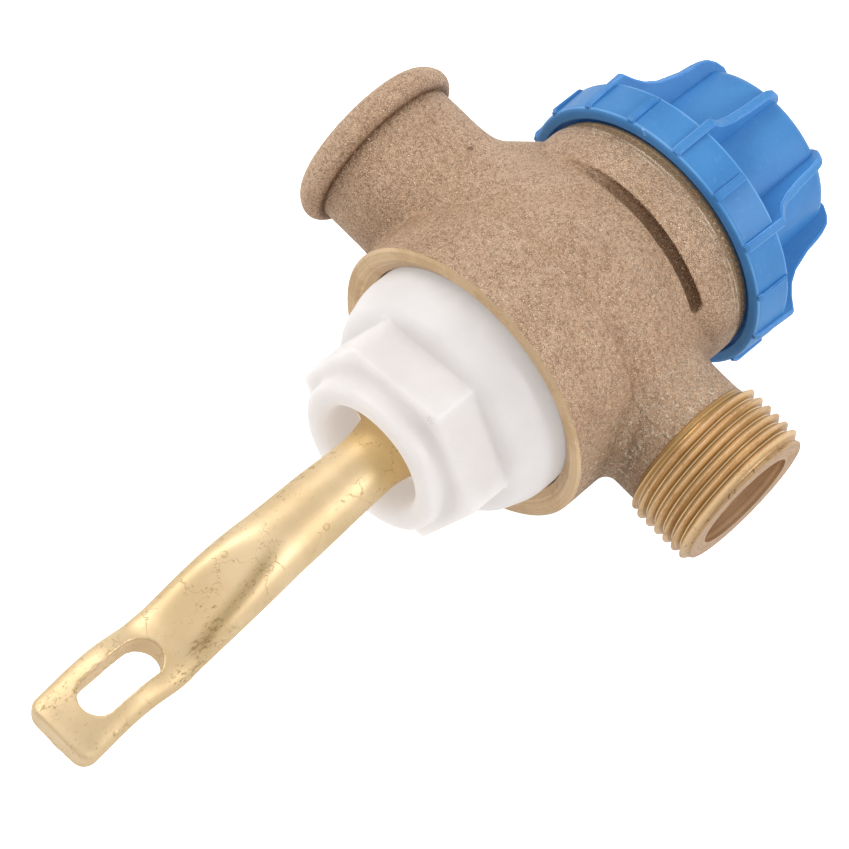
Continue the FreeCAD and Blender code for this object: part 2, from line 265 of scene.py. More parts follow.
def rgb(red, green, blue):
    """A colour as a paint chart gives it, 0 to 255, for a node socket."""
    parts = [v / 255 for v in (red, green, blue)]
    return tuple(((v + 0.055) / 1.055) ** 2.4 if v > 0.04045 else v / 12.92 for v in parts) + (1.0,)


def tint(tree, share, under, over):
    """Two colours mixed by a share from 0 to 1."""
    node = new_node(tree, "Mix")
    node.data_type = "RGBA"
    for index, source in ((MIX_SHARE, share), (MIX_UNDER, under), (MIX_OVER, over)):
        feed(tree, source, node.inputs[index])
    return node.outputs[MIX_RESULT]


def wash(tree, colour, mask, strength, paint):
    """A thin coat of paint over a colour, where a mask says and as strong as this."""
    return tint(tree, times(tree, mask, strength), colour, paint)


# %% [markdown]
# ## Effects that several finishes share
#
# Sand grain, stains, lathe lines, hair cracks and single spots show up on more than one material. Each
# becomes one node group with named sockets, so a material only says how large and how strong.

# %% Group maker
def effect(name, takes, gives):
    """An empty node group with named inputs and outputs; the first input is always the place."""
    tree = bpy.data.node_groups.new(name, "ShaderNodeTree")
    for label, kind, value in [("Vector", "Vector", None)] + takes:
        socket = tree.interface.new_socket(label, in_out="INPUT", socket_type="NodeSocket" + kind)
        if value is not None:
            socket.default_value = value
    for label in gives:
        tree.interface.new_socket(label, in_out="OUTPUT", socket_type="NodeSocketFloat")
    return tree, tree.nodes.new("NodeGroupInput").outputs, tree.nodes.new("NodeGroupOutput").inputs


def use(tree, group, **sources):
    """Place a group in a material and set its inputs by name."""
    node = tree.nodes.new("ShaderNodeGroup")
    node.node_tree = group
    for label, source in sources.items():
        feed(tree, source, node.inputs[label])
    return node.outputs


# %% Cells and bends
def cells(tree, place, scale, feature="F1"):
    """Irregular cells, this many to a metre, each with a distance and a colour of its own."""
    node = new_node(tree, "TexVoronoi", Vector=place, Scale=scale)
    node.feature = feature
    return node.outputs


def bent(tree, place, scale, reach):
    """The place, pushed about by soft noise, so that straight borders bend."""
    noise = new_node(tree, "TexNoise", Vector=place, Scale=scale)
    push = vector_calc(tree, "MULTIPLY", noise.outputs["Color"], (reach, reach, reach))
    return vector_calc(tree, "ADD", place, push)


def channels(tree, colour):
    """Red, green and blue of a colour, which serve as three random numbers of a cell."""
    return new_node(tree, "SeparateColor", Color=colour).outputs


# %% Sand grain
def make_sand_grain():
    tree, take, give = effect(
        "sand grain", [("Grain", "Float", 2600.0)], ["Height", "PaintedGlintAndGloss", "PaintedCreaseShade", "Tone"])
    place, grain = take["Vector"], take["Grain"]
    # Each cell is one grain of the mould: a round lump with a crease all round it and a gloss of its own
    grains = cells(tree, bent(tree, place, times(tree, grain, 0.5), 0.5 * MM), grain)
    own = channels(tree, grains["Color"])
    lump = stretch(tree, grains["Distance"], 0.72, 0.08)
    swell = clouds(tree, place, times(tree, grain, 0.30), 3.0, 0.6)
    proud = calc(tree, "ADD", 0.5, times(tree, own["Green"], 0.8))
    skin = calc(tree, "ADD", times(tree, lump, proud), times(tree, swell, 1.6))
    feed(tree, skin, give["Height"])
    # The glint mask makes a grain glossier, and the colour also takes it as a painted glint
    painted_glint_and_gloss = times(tree, stretch(tree, own["Red"], 0.25, 1.0), stretch(tree, lump, 0.40, 0.90))
    feed(tree, painted_glint_and_gloss, give["PaintedGlintAndGloss"])
    # The crease mask is painted shade in the creases between the grains
    painted_crease_shade = times(tree, stretch(tree, lump, 0.62, 0.12), stretch(tree, swell, 0.62, 0.38, 0.5, 1.0))
    feed(tree, painted_crease_shade, give["PaintedCreaseShade"])
    # The tone drifts slowly, over about thirty grains
    feed(tree, clouds(tree, place, times(tree, grain, 0.034), 4.0, 0.6), give["Tone"])
    return tree


sand_grain = make_sand_grain()
print("effect:", sand_grain.name)

# %% Stains
def make_stains():
    tree, take, give = effect("stains", [("Scale", "Float", 90.0), ("Cover", "Float", 0.4)], ["Mask"])
    broad = clouds(tree, take["Vector"], take["Scale"], 3.0, 0.6)
    broken = clouds(tree, take["Vector"], times(tree, take["Scale"], 9.0), 3.0, 0.7)
    mottled = calc(tree, "ADD", broad, times(tree, calc(tree, "SUBTRACT", broken, 0.5), 0.45))
    edge = calc(tree, "SUBTRACT", 0.86, times(tree, take["Cover"], 0.6))
    bare = calc(tree, "SUBTRACT", edge, 0.10)
    full = calc(tree, "ADD", edge, 0.12)
    feed(tree, stretch(tree, mottled, bare, full), give["Mask"])
    return tree


stains = make_stains()
print("effect:", stains.name)

# %% Lathe lines
def make_lathe_lines():
    tree, take, give = effect(
        "lathe lines",
        [("Centre", "Vector", ON_FLOW), ("Across", "Vector", ROUND_STEM), ("Pitch", "Float", 0.3 * MM)],
        ["Height", "Shade", "Radius"])
    arm = vector_calc(tree, "SUBTRACT", take["Vector"], take["Centre"])
    axis = vector_calc(tree, "SUBTRACT", (1, 1, 1), take["Across"])
    radius = vector_calc(tree, "LENGTH", vector_calc(tree, "MULTIPLY", arm, take["Across"]))
    along = vector_calc(tree, "LENGTH", vector_calc(tree, "MULTIPLY", arm, axis))
    walk = calc(tree, "DIVIDE", calc(tree, "ADD", radius, along), take["Pitch"])
    feed(tree, calc(tree, "SINE", times(tree, walk, 2 * math.pi)), give["Height"])
    bands = new_node(tree, "TexNoise", Scale=0.45, Detail=3.0)
    bands.noise_dimensions = "1D"
    feed(tree, walk, bands.inputs["W"])
    feed(tree, bands.outputs["Fac"], give["Shade"])
    feed(tree, radius, give["Radius"])
    return tree


lathe_lines = make_lathe_lines()
print("effect:", lathe_lines.name)

# %% Hair cracks and blisters
def make_hair_cracks():
    tree, take, give = effect("hair cracks", [("Scale", "Float", 160.0), ("Width", "Float", 0.02)], ["Mask"])
    place, scale = take["Vector"], take["Scale"]
    crazed = cells(tree, bent(tree, place, times(tree, scale, 3.0), 3.5 * MM), scale, "DISTANCE_TO_EDGE")
    line = stretch(tree, crazed["Distance"], take["Width"], 0.0)
    # Only some stretches of the net of borders are open
    opened = stretch(tree, clouds(tree, place, times(tree, scale, 0.8), 2.0), 0.49, 0.59)
    feed(tree, times(tree, line, opened), give["Mask"])
    return tree


def make_blisters():
    tree, take, give = effect("blisters", [("Scale", "Float", 420.0)], ["Height", "Rim"])
    bubbles = cells(tree, take["Vector"], take["Scale"])
    own = channels(tree, bubbles["Color"])
    chosen = stretch(tree, own["Red"], 0.76, 0.78)
    size = calc(tree, "ADD", 0.12, times(tree, own["Green"], 0.12))
    dome = stretch(tree, calc(tree, "DIVIDE", bubbles["Distance"], size), 1.0, 0.55)
    ring = times(tree, dome, calc(tree, "SUBTRACT", 1.0, times(tree, dome, 0.6)))
    feed(tree, times(tree, dome, chosen), give["Height"])
    feed(tree, times(tree, ring, chosen), give["Rim"])
    return tree


hair_cracks = make_hair_cracks()
blisters = make_blisters()
print("effects:", hair_cracks.name, "and", blisters.name)

# %% One spot
def make_spot():
    tree, take, give = effect(
        "spot", [("Centre", "Vector", (0, 0, 0)), ("Size", "Float", MM), ("Ragged", "Float", 0.5)], ["Mask"])
    away = vector_calc(tree, "DISTANCE", take["Vector"], take["Centre"])
    torn = clouds(tree, take["Vector"], calc(tree, "DIVIDE", 2.2, take["Size"]), 3.0, 0.65)
    tear = times(tree, calc(tree, "SUBTRACT", torn, 0.5), times(tree, take["Ragged"], 3.0))
    edge = calc(tree, "ADD", calc(tree, "DIVIDE", away, take["Size"]), tear)
    feed(tree, stretch(tree, edge, 1.05, 0.55), give["Mask"])
    return tree


spot = make_spot()
print("effect:", spot.name)

# %% Start of a finish
def start_finish(name, **settings):
    """A material, its tree, its shader and the place on the piece; settings go straight on the shader."""
    material = bpy.data.materials.new(name)
    material.use_nodes = True
    tree = material.node_tree
    shader = tree.nodes["Principled BSDF"]
    for label, value in settings.items():
        shader.inputs[label.replace("_", " ")].default_value = value
    return material, tree, shader.inputs, tree.nodes.new("ShaderNodeTexCoord").outputs["Object"]


def parts_of(tree, place):
    """X, Y and Z of a place, in m."""
    return new_node(tree, "SeparateXYZ", Vector=place).outputs


def openness(tree, distance):
    """1 on an open surface and less in a hollow, looking this far round in m."""
    return new_node(tree, "AmbientOcclusion", Distance=distance).outputs["AO"]


# %% [markdown]
# ## Cast bronze
#
# The body left a sand mould, so its skin is a carpet of grains about a fifth of a millimetre wide, tan where
# the blast cleaned it, with painted shade in the hollows and creases and painted glints for tiny bright
# facets. Height, colour and gloss all follow the same grain. The neck is rougher, with painted highlights on
# its lumps, the grooves get painted shade, thin painted highlight lines run just in front of the edge under
# the cap, and a fine seam shows where the mould's halves met. An image could carry all this, but nodes have
# no seams and no limit when the camera comes close. The edge under the cap was then cut on a lathe.

# %% Cast skin
def cast_skin(tree, place, grain, coarse, torn):
    """Colour of the skin: dirt, painted shade in hollows and creases, painted glints, and painted highlights
    on the torn neck.
    """
    tone = stretch(tree, grain["Tone"], 0.34, 0.66)
    colour = tint(tree, tone, rgb(233, 197, 165), rgb(244, 210, 179))
    dirt = use(tree, stains, Vector=place, Scale=75.0, Cover=0.40)["Mask"]
    colour = wash(tree, colour, dirt, 0.14, rgb(142, 112, 92))
    # Painted shade: hollows that the AO node finds are darkened to brown
    hollow_shade = stretch(tree, openness(tree, 12 * MM), 0.96, 0.52)
    colour = wash(tree, colour, hollow_shade, 0.85, rgb(122, 84, 54))
    # Painted shade in the creases between grains, a little weaker on the neck
    painted_crease_shade = calc(tree, "SUBTRACT", 0.74, times(tree, coarse, 0.14))
    colour = wash(tree, colour, grain["PaintedCreaseShade"], painted_crease_shade, rgb(114, 77, 46))
    # Painted glints on single grains
    colour = wash(tree, colour, grain["PaintedGlintAndGloss"], 0.90, rgb(255, 235, 203))
    # Painted highlights on the lumps of the torn neck
    return wash(tree, colour, coarse, times(tree, torn, 0.80), rgb(255, 236, 210))


# %% Marks of the mould
GROOVE_WALL, GROOVE_FLOOR = 20.4, 19.8      # mm from the stem
GROOVE_FRONT, GROOVE_BACK = 10.9, 13.3      # y in mm
SEAM_FRONT, SEAM_BACK = -7.15, -6.85        # y in mm
POCK = (0.0157, 0.0035, 0.0134)             # m


def mould_marks(tree, colour, place, grain, torn, y, radius):
    """Painted shade in the crescent grooves, the seam round the drum, and a pock near the inlet."""
    # Painted shade darkens the floor of the crescent grooves, with a ragged edge
    ragged = times(tree, calc(tree, "SUBTRACT", torn, 0.5), 0.5 * MM)
    low = stretch(tree, calc(tree, "ADD", radius, ragged), GROOVE_WALL * MM, GROOVE_FLOOR * MM)
    half = (GROOVE_BACK - GROOVE_FRONT) / 2
    groove_shade_band = window(tree, y, GROOVE_FRONT * MM, GROOVE_BACK * MM, half * MM)
    colour = wash(tree, colour, times(tree, low, groove_shade_band), 0.56, rgb(92, 66, 40))
    # The two halves of the mould met on a fine broken line, and a grain fell out of the sand
    met = window(tree, y, SEAM_FRONT * MM, SEAM_BACK * MM, 0.12 * MM)
    seam = times(tree, met, stretch(tree, grain["Tone"], 0.42, 0.52))
    pock = use(tree, spot, Vector=place, Centre=POCK, Size=0.6 * MM, Ragged=0.3)["Mask"]
    mark = calc(tree, "MAXIMUM", times(tree, seam, 0.35), times(tree, pock, 0.7))
    return tint(tree, mark, colour, rgb(104, 76, 52))


# %% Cast bronze finish
NECK_FROM, NECK_TO = 60.0, 66.0             # x in mm over which the skin turns rough
# The thin bright lines under the cap are painted highlights
RIM_HIGHLIGHTS = (19.0, 0.5), (19.7, 0.62)       # y in mm and strength of the bright lines under the cap
LINE_WIDTH, LINE_SOFT = 0.3, 0.1            # mm
RIM_FROM, RIM_TO = 20.1, 20.4               # y in mm over which the skin gives way to the turned edge


def make_cast_bronze():
    material, tree, shader, place = start_finish("cast bronze", Metallic=0.5)
    grain = use(tree, sand_grain, Vector=place, Grain=4800.0)
    lines = use(tree, lathe_lines, Vector=place, Centre=ON_STEM, Across=ROUND_STEM, Pitch=0.42 * MM)
    axis = parts_of(tree, place)
    y = axis["Y"]
    # The neck was the last place to fill in the mould: its skin is rougher there, wrinkled and torn
    coarse = stretch(tree, axis["X"], NECK_FROM * MM, NECK_TO * MM)
    torn = stretch(tree, clouds(tree, place, 1300.0, 4.0, 0.65), 0.46, 0.68)
    colour = cast_skin(tree, place, grain, coarse, torn)
    colour = mould_marks(tree, colour, place, grain, torn, y, lines["Radius"])
    # Thin painted highlight lines lie just in front of the edge under the cap; the edge itself is turned,
    # a browner band with little grain
    broken = stretch(tree, clouds(tree, place, 190.0, 3.0), 0.46, 0.54)
    for start, strength in RIM_HIGHLIGHTS:
        line = window(tree, y, start * MM, (start + LINE_WIDTH) * MM, LINE_SOFT * MM)
        colour = wash(tree, colour, times(tree, line, broken), strength, rgb(252, 236, 206))
    rim = stretch(tree, y, RIM_FROM * MM, RIM_TO * MM)
    turned = tint(tree, stretch(tree, lines["Shade"], 0.35, 0.65), rgb(158, 124, 90), rgb(206, 170, 128))
    feed(tree, tint(tree, rim, colour, turned), shader["Base Color"])
    gloss = calc(tree, "SUBTRACT", 0.52, times(tree, grain["PaintedGlintAndGloss"], 0.22))
    feed(tree, calc(tree, "SUBTRACT", gloss, times(tree, rim, 0.12)), shader["Roughness"])
    height = times(tree, grain["Height"], calc(tree, "SUBTRACT", 1.0, times(tree, rim, 0.85)))
    wrinkle = raised(tree, times(tree, torn, coarse), 0.35)
    feed(tree, raised(tree, height, 0.20, wrinkle), shader["Normal"])
    return material


cast_bronze = make_cast_bronze()
print("finish:", cast_bronze.name, len(cast_bronze.node_tree.nodes), "nodes")

# %% [markdown]
# ## Turned bronze
#
# Faces that a lathe cut are smoother and more golden than the cast skin. Fine lines run round the axis they
# were turned about, so the same recipe serves the stem's side and the flow's side with another axis.

# %% Turned bronze finishes
def make_turned_bronze(name, centre, across, light, dark, metal=0.8, rough=0.30):
    material, tree, shader, place = start_finish(name, Metallic=metal, Specular_IOR_Level=metal * 0.6)
    lines = use(tree, lathe_lines, Vector=place, Centre=centre, Across=across, Pitch=0.26 * MM)
    colour = tint(tree, stretch(tree, lines["Shade"], 0.3, 0.7), dark, light)
    tarnish = use(tree, stains, Vector=place, Scale=130.0, Cover=0.5)["Mask"]
    colour = wash(tree, colour, tarnish, 0.22, rgb(160, 126, 82))
    grain = use(tree, sand_grain, Vector=place, Grain=3600.0)
    # Painted glints from the sand grain
    colour = wash(tree, colour, grain["PaintedGlintAndGloss"], 0.25, rgb(250, 232, 200))
    feed(tree, colour, shader["Base Color"])
    feed(tree, calc(tree, "ADD", rough, times(tree, tarnish, 0.2)), shader["Roughness"])
    feed(tree, raised(tree, calc(tree, "ADD", lines["Height"], grain["Height"]), 0.006), shader["Normal"])
    return material


turned_stem = make_turned_bronze(
    "turned bronze, stem side", ON_STEM, ROUND_STEM, rgb(221, 191, 153), rgb(206, 176, 137))
turned_ports = make_turned_bronze(
    "turned bronze, port side", ON_FLOW, ROUND_FLOW, rgb(190, 160, 132), rgb(176, 145, 117),
    metal=0.25, rough=0.5)
# The bore takes paler colours than the end face: painted light inside the bore
lit_bore_ports = make_turned_bronze(
    "bored bronze with painted light, port side", ON_FLOW, ROUND_FLOW, rgb(240, 208, 172), rgb(206, 172, 136))
print("finishes:", turned_stem.name, "and", turned_ports.name, "and", lit_bore_ports.name)

# %% [markdown]
# ## The cast body
#
# The body's shape is right in CAD, so a copy of its mesh becomes the visible piece. Only the plain cylinder
# that stands for the outlet's thread, and the wall of the inlet's thread, are taken away, to be cut as real
# threads next. Faces that a lathe touched get the turned finish.

# %% Copy a solid as a new piece
def copy_of(node, name, body):
    """A new piece with a copy of a solid's mesh, which stands for it and rides on the same body."""
    piece = bpy.data.objects.new(name, frame["nodes"][node].data.copy())
    scene.collection.objects.link(piece)
    piece.data.materials.clear()
    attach(piece, body)
    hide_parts(node)
    return piece


@contextmanager
def editing(mesh):
    """Opens a mesh for editing and writes it back at the end of the block."""
    shape = bmesh.new()
    shape.from_mesh(mesh)
    yield shape
    shape.to_mesh(mesh)
    shape.free()


# %% Tell the faces apart
AS_CAST, STEM_SIDE, PORT_SIDE, BORE = range(4)
# All that follows is in mm
HAIR, SLACK = 0.02, 0.05                                # kept clear of an edge, or reached beyond it
BORE_START, INLET_THREAD_END, INLET_CUT_END = 50.0, 12.7, 13.0      # x
OUTLET_BORE, OUTLET_FACE, INLET_FACE = 11.0, 12.3, 10.9             # from the flow
INLET_WALL_IN, INLET_WALL_OUT = 9.0, 9.6                            # from the flow
FRONT_RIM, RECESS_FLOOR, REAR_END = -19.88, -9.9, 21.3              # y
RECESS_RADIUS = 22.9                                                # from the stem


def is_thread_wall(x, y, z):
    """True on the two plain cylinders that stand for threads."""
    from_flow = math.hypot(y, z)
    outlet_wall = THREAD_START - SLACK < x < OUTLET_END - HAIR and from_flow > OUTLET_BORE
    inlet_wall = HAIR < x < INLET_THREAD_END - HAIR and INLET_WALL_IN < from_flow < INLET_WALL_OUT
    return outlet_wall or inlet_wall


def lathe_cut(x, y, z):
    """Which cut, if any, made the face at this place."""
    from_flow = math.hypot(y, z)
    if BORE_START < x < OUTLET_END - HAIR and from_flow < OUTLET_BORE:
        return BORE
    at_outlet = x > THREAD_START and from_flow < OUTLET_FACE
    at_inlet = x < INLET_CUT_END and from_flow < INLET_FACE
    if at_outlet or at_inlet:
        return PORT_SIDE
    in_recess = y < RECESS_FLOOR and math.hypot(x - STEM_X, z) < RECESS_RADIUS
    return STEM_SIDE if y < FRONT_RIM or in_recess or y > REAR_END else AS_CAST


# %% Cut away the plain thread walls and sort the faces
cast_body = copy_of("valve_body", "cast_body", "valve")
with editing(cast_body.data) as shape:
    walls = [face for face in shape.faces if is_thread_wall(*(face.calc_center_median() / MM))]
    cut_away = len(walls)
    bmesh.ops.delete(shape, geom=walls, context="FACES")
    counts = [0, 0, 0, 0]
    for face in shape.faces:
        face.material_index = lathe_cut(*(face.calc_center_median() / MM))
        counts[face.material_index] += 1
for finish in (cast_bronze, turned_stem, turned_ports, lit_bore_ports):
    cast_body.data.materials.append(finish)
print("cast body: cut away", cut_away, "faces; cast, stem side, ports, bore:", counts)

# %% [markdown]
# ## Soft cast grooves
#
# A crescent of metal is missing in front of the rear flange. A tool in a sand mould leaves no sharp lip, so
# the triangles there are divided until they are small, and then each point is drawn toward its neighbours a
# few times. Points away from the grooves have no share in it and stay where they are. A bevel could not do
# this, because the groove tapers out to nothing.

# %% Relax points of a mesh
PULL = 0.6


def relax(mesh, passes, weight=None, push=0.61):
    """Draws points toward their neighbours, then pushes them back, so that kinks go and the size stays.
    With no push, ridges that are wider than a few points go as well."""
    points = np.zeros(len(mesh.vertices) * 3)
    mesh.vertices.foreach_get("co", points)
    points = points.reshape(-1, 3)
    ends = np.zeros(len(mesh.edges) * 2, int)
    mesh.edges.foreach_get("vertices", ends)
    a, b = ends.reshape(-1, 2).T
    size = len(points)
    count = np.bincount(a, minlength=size) + np.bincount(b, minlength=size)
    share = np.ones(size) if weight is None else weight(points / MM)
    for _ in range(passes):
        for pull in (PULL, -push):
            total = np.zeros_like(points)
            for axis in range(3):
                row = points[:, axis]
                total[:, axis] = np.bincount(a, row[b], size) + np.bincount(b, row[a], size)
            points += (pull * share)[:, None] * (total / count[:, None] - points)
    mesh.vertices.foreach_set("co", points.ravel())
    mesh.update()


# %% Divide where it matters
WELD = 1e-6             # m between points that are one
MOST_HALVINGS = 7


def weld(shape):
    bmesh.ops.remove_doubles(shape, verts=shape.verts, dist=WELD)


def divide_near(mesh, share, longest):
    """Welds the mesh, then halves edges that are longer than this, in mm, where the share isn't 0."""
    with editing(mesh) as shape:
        weld(shape)
        for _ in range(MOST_HALVINGS):
            middles = np.array([(e.verts[0].co + e.verts[1].co) / 2 for e in shape.edges]) / MM
            near = share(middles) > 0
            long = [e for e, is_near in zip(shape.edges, near) if is_near and e.calc_length() > longest * MM]
            if not long:
                break
            bmesh.ops.subdivide_edges(shape, edges=long, cuts=1)
            bmesh.ops.triangulate(shape, faces=[f for f in shape.faces if len(f.verts) > 3])


def smooth_below(mesh, degrees):
    """Smooth shading, with sharp edges where faces meet at more than this angle."""
    mesh.shade_smooth()
    mesh.set_sharp_from_angle(angle=math.radians(degrees))


# %% Soften the grooves
def soft_step(value, low, high):
    """0 below low, 1 above high, and a soft rise between."""
    t = np.clip((value - low) / (high - low), 0, 1)
    return t * t * (3 - 2 * t)


def groove_share(points):
    """1 on the crescent grooves and their lips, 0 elsewhere; points in mm."""
    x, y, z = points.T
    from_stem = np.hypot(x - STEM_X, z)
    along = soft_step(y, 9.9, 10.5) * soft_step(y, 14.6, 13.8)
    return along * soft_step(from_stem, 18.5, 18.9) * soft_step(from_stem, 22.6, 22.2)


divide_near(cast_body.data, groove_share, longest=0.5)
relax(cast_body.data, passes=14, weight=groove_share, push=0.0)
cast_body.data.attributes.remove(cast_body.data.attributes["custom_normal"])
smooth_below(cast_body.data, 30)
print("cast body:", len(cast_body.data.polygons), "faces after the grooves were softened")

# %% [markdown]
# ## Pipe threads
#
# A thread could be faked with a bump, but its crests show against the white floor, so it is modelled. One
# strip of profile points runs along a helix; each turn of the strip shares its edge with the next. Rows are
# clamped at both ends, where a real thread runs out or is chamfered.

# %% Helical thread mesh
PITCH = 1.814           # mm, fourteen turns to the inch
# Share of the pitch and height of each row of points: a short crest, straight flanks, a short root
THREAD_ROWS = (
    (0.0, 1.0), (0.09, 1.0), (0.13, 0.92), (0.46, 0.06), (0.51, 0.0), (0.59, 0.0), (0.64, 0.06), (0.96, 0.92))


def thread_mesh(name, start, stop, radius_at, spokes):
    """A helical surface about X between two x, in mm; radius_at(height from 0 to 1, x) gives its radius."""
    steps = len(THREAD_ROWS)
    rows = (int(math.ceil((stop - start) / PITCH)) + 2) * steps
    points = []
    for k in range(spokes):
        angle = 2 * math.pi * k / spokes
        for j in range(rows + 1):
            share, height = THREAD_ROWS[j % steps]
            x = start + (j // steps - 1 + share + k / spokes) * PITCH
            x = min(max(x, start), stop)
            radius = radius_at(height, x)
            points.append((x * MM, radius * math.cos(angle) * MM, radius * math.sin(angle) * MM))
    faces = []
    for k in range(spokes):
        for j in range(rows):
            here = k * (rows + 1) + j
            there = here + rows + 1 if k + 1 < spokes else j + steps
            if k + 1 < spokes or j + steps + 1 <= rows:
                faces.append((here, here + 1, there + 1, there))
    mesh = bpy.data.meshes.new(name)
    mesh.from_pydata(points, [], faces)
    with editing(mesh) as shape:
        weld(shape)
        bmesh.ops.dissolve_degenerate(shape, edges=shape.edges, dist=WELD / 10)
    smooth_below(mesh, 38)
    return mesh


# %% Outlet thread
NECK_RADIUS = 11.5              # all of these in mm
ROOT_RISE, THREAD_DEPTH = 0.58, 1.14
STRIP_BEFORE, RUN_IN_BEFORE, RUN_IN_LENGTH = 0.7, 0.6, 1.5
CHAMFER_RADIUS, CHAMFER_SLOPE = 12.1, 1.02


def outlet_radius(height, x):
    """Root 12.08 and crest 13.22, grown from the neck at the start and chamfered at the end."""
    if x <= THREAD_START - RUN_IN_BEFORE:
        return NECK_RADIUS
    run_in = min(1.0, (x - THREAD_START + RUN_IN_BEFORE) / RUN_IN_LENGTH)
    chamfer = CHAMFER_RADIUS + (OUTLET_END - x) * CHAMFER_SLOPE
    return min(NECK_RADIUS + (ROOT_RISE + THREAD_DEPTH * height) * run_in, chamfer)


strip_start = THREAD_START - STRIP_BEFORE
outlet_mesh = thread_mesh("outlet_thread", strip_start, OUTLET_END, outlet_radius, spokes=180)
print("outlet thread:", len(outlet_mesh.polygons), "faces")

# %% Inlet thread
INLET_WALL = 9.5                # all of these in mm
FADE_IN, FADE_OUT = 0.8, 1.2


def inlet_radius(height, x):
    """A female thread: crests on the wall, roots cut outward into it, faded at both ends."""
    fade = min(1.0, max(0.0, x / FADE_IN), max(0.0, (INLET_THREAD_END - x) / FADE_OUT))
    return INLET_WALL + fade * (1.0 - height)


inlet_mesh = thread_mesh("inlet_thread", 0.0, INLET_THREAD_END, inlet_radius, spokes=120)
inlet_mesh.flip_normals()
print("inlet thread:", len(inlet_mesh.polygons), "faces")

# %% [markdown]
# ## Finish of the cut thread
#
# A die cut the outlet's thread after casting. Its flanks are yellower than the skin, its torn crests are
# rough and pink, and a thin painted highlight line runs along each root. The distance from the flow's axis
# says which of them a point lies on, so the finish needs no painted map.

# %% Thread finish
THREAD_NECK, THREAD_END = THREAD_START * MM, OUTLET_END * MM    # x in m
CROWD_PITCH = 0.55 * MM
ROOT_IN, ROOT_OUT = 0.01209, 0.01213        # m from the flow, as the next two
FLANK_IN, FLANK_OUT = 0.0122, 0.0129
CREST_IN, CREST_OUT = 0.01296, 0.01314


def make_thread_bronze():
    material, tree, shader, place = start_finish("cut thread bronze", Metallic=0.6)
    lines = use(tree, lathe_lines, Vector=place, Centre=ON_FLOW, Across=ROUND_FLOW, Pitch=0.2 * MM)
    x, radius = parts_of(tree, place)["X"], lines["Radius"]
    flank = stretch(tree, radius, FLANK_IN, FLANK_OUT)
    colour = tint(tree, flank, rgb(184, 144, 88), rgb(228, 192, 142))
    tarnish = use(tree, stains, Vector=place, Scale=150.0, Cover=0.45)["Mask"]
    colour = wash(tree, colour, tarnish, 0.5, rgb(168, 124, 68))
    colour = wash(tree, colour, stretch(tree, lines["Shade"], 0.52, 0.68), 0.5, rgb(150, 112, 56))
    ragged = stretch(tree, clouds(tree, place, 2300.0, 3.0, 0.7), 0.42, 0.62)
    torn = times(tree, stretch(tree, radius, CREST_IN, CREST_OUT), ragged)
    colour = wash(tree, colour, torn, 0.60, rgb(228, 200, 172))
    # The last turns crowd together at the neck, where painted highlight lines stand for them
    full = window(tree, x, THREAD_NECK + 0.9 * MM, THREAD_END - 1.3 * MM, 0.4 * MM)
    root = times(tree, stretch(tree, radius, ROOT_OUT, ROOT_IN), full)
    wave = calc(tree, "SINE", times(tree, x, 2 * math.pi / CROWD_PITCH))
    at_neck = stretch(tree, x, THREAD_NECK + 1.6 * MM, THREAD_NECK + 1.1 * MM)
    crowd = times(tree, stretch(tree, wave, 0.6, 0.95), at_neck)
    # Painted highlight lines along the roots and the crowded turns
    painted_highlight_lines = calc(tree, "MAXIMUM", root, times(tree, crowd, 0.5))
    colour = wash(tree, colour, painted_highlight_lines, 0.8, rgb(252, 232, 190))
    # The chamfer at the end is rough and pitted
    chamfer = stretch(tree, x, THREAD_END - 1.3 * MM, THREAD_END - 0.9 * MM)
    colour = wash(tree, colour, chamfer, 0.7, rgb(206, 174, 134))
    pit = times(tree, chamfer, stretch(tree, clouds(tree, place, 1700.0, 3.0, 0.7), 0.57, 0.66))
    feed(tree, wash(tree, colour, pit, 0.7, rgb(110, 80, 46)), shader["Base Color"])
    feed(tree, calc(tree, "ADD", 0.34, times(tree, torn, 0.2)), shader["Roughness"])
    grain = use(tree, sand_grain, Vector=place, Grain=3200.0)
    feed(tree, raised(tree, grain["Height"], 0.02), shader["Normal"])
    return material


thread_bronze = make_thread_bronze()
print("finish:", thread_bronze.name)

# %% Threads as pieces
def add_piece(name, mesh, body, slot, *finishes):
    """A new piece that rides on a body and takes the finishes it is given; the slot is not used."""
    piece = bpy.data.objects.new(name, mesh)
    scene.collection.objects.link(piece)
    for finish in finishes:
        mesh.materials.append(finish)
    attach(piece, body)
    return piece


outlet_thread = add_piece("outlet_thread", outlet_mesh, "valve", "cast_bronze", thread_bronze)
inlet_thread = add_piece("inlet_thread", inlet_mesh, "valve", "cast_bronze", turned_ports)

# %% [markdown]
# ## Forged brass lever
#
# The lever was struck hot between dies: edges are round, and a flat runs down to the slot. The CAD solid has
# sharp edges there. A fine voxel skin over its copy, relaxed a little, rounds every edge by about the same
# amount, as forging does. Then a shallow panel is pressed into the flat, and the flat and the ground tip are
# relaxed further, because wear took their edges away.

# %% A relaxed skin
def skin_over(piece, voxel, passes):
    """Replaces the mesh by an even skin of small squares, in mm, then relaxes it without shrinking it."""
    with editing(piece.data) as shape:
        weld(shape)
    remesh = piece.modifiers.new("skin", "REMESH")
    remesh.mode = "VOXEL"
    remesh.voxel_size = voxel * MM
    skinned = bpy.data.meshes.new_from_object(piece.evaluated_get(bpy.context.evaluated_depsgraph_get()))
    piece.modifiers.clear()
    skinned.materials.clear()
    piece.data = skinned
    relax(skinned, passes)
    skinned.shade_smooth()
    return skinned


forged_lever = copy_of("lever", "forged_lever", "lever")
skin = skin_over(forged_lever, voxel=0.28, passes=10)
print("lever skin:", len(skin.polygons), "faces")

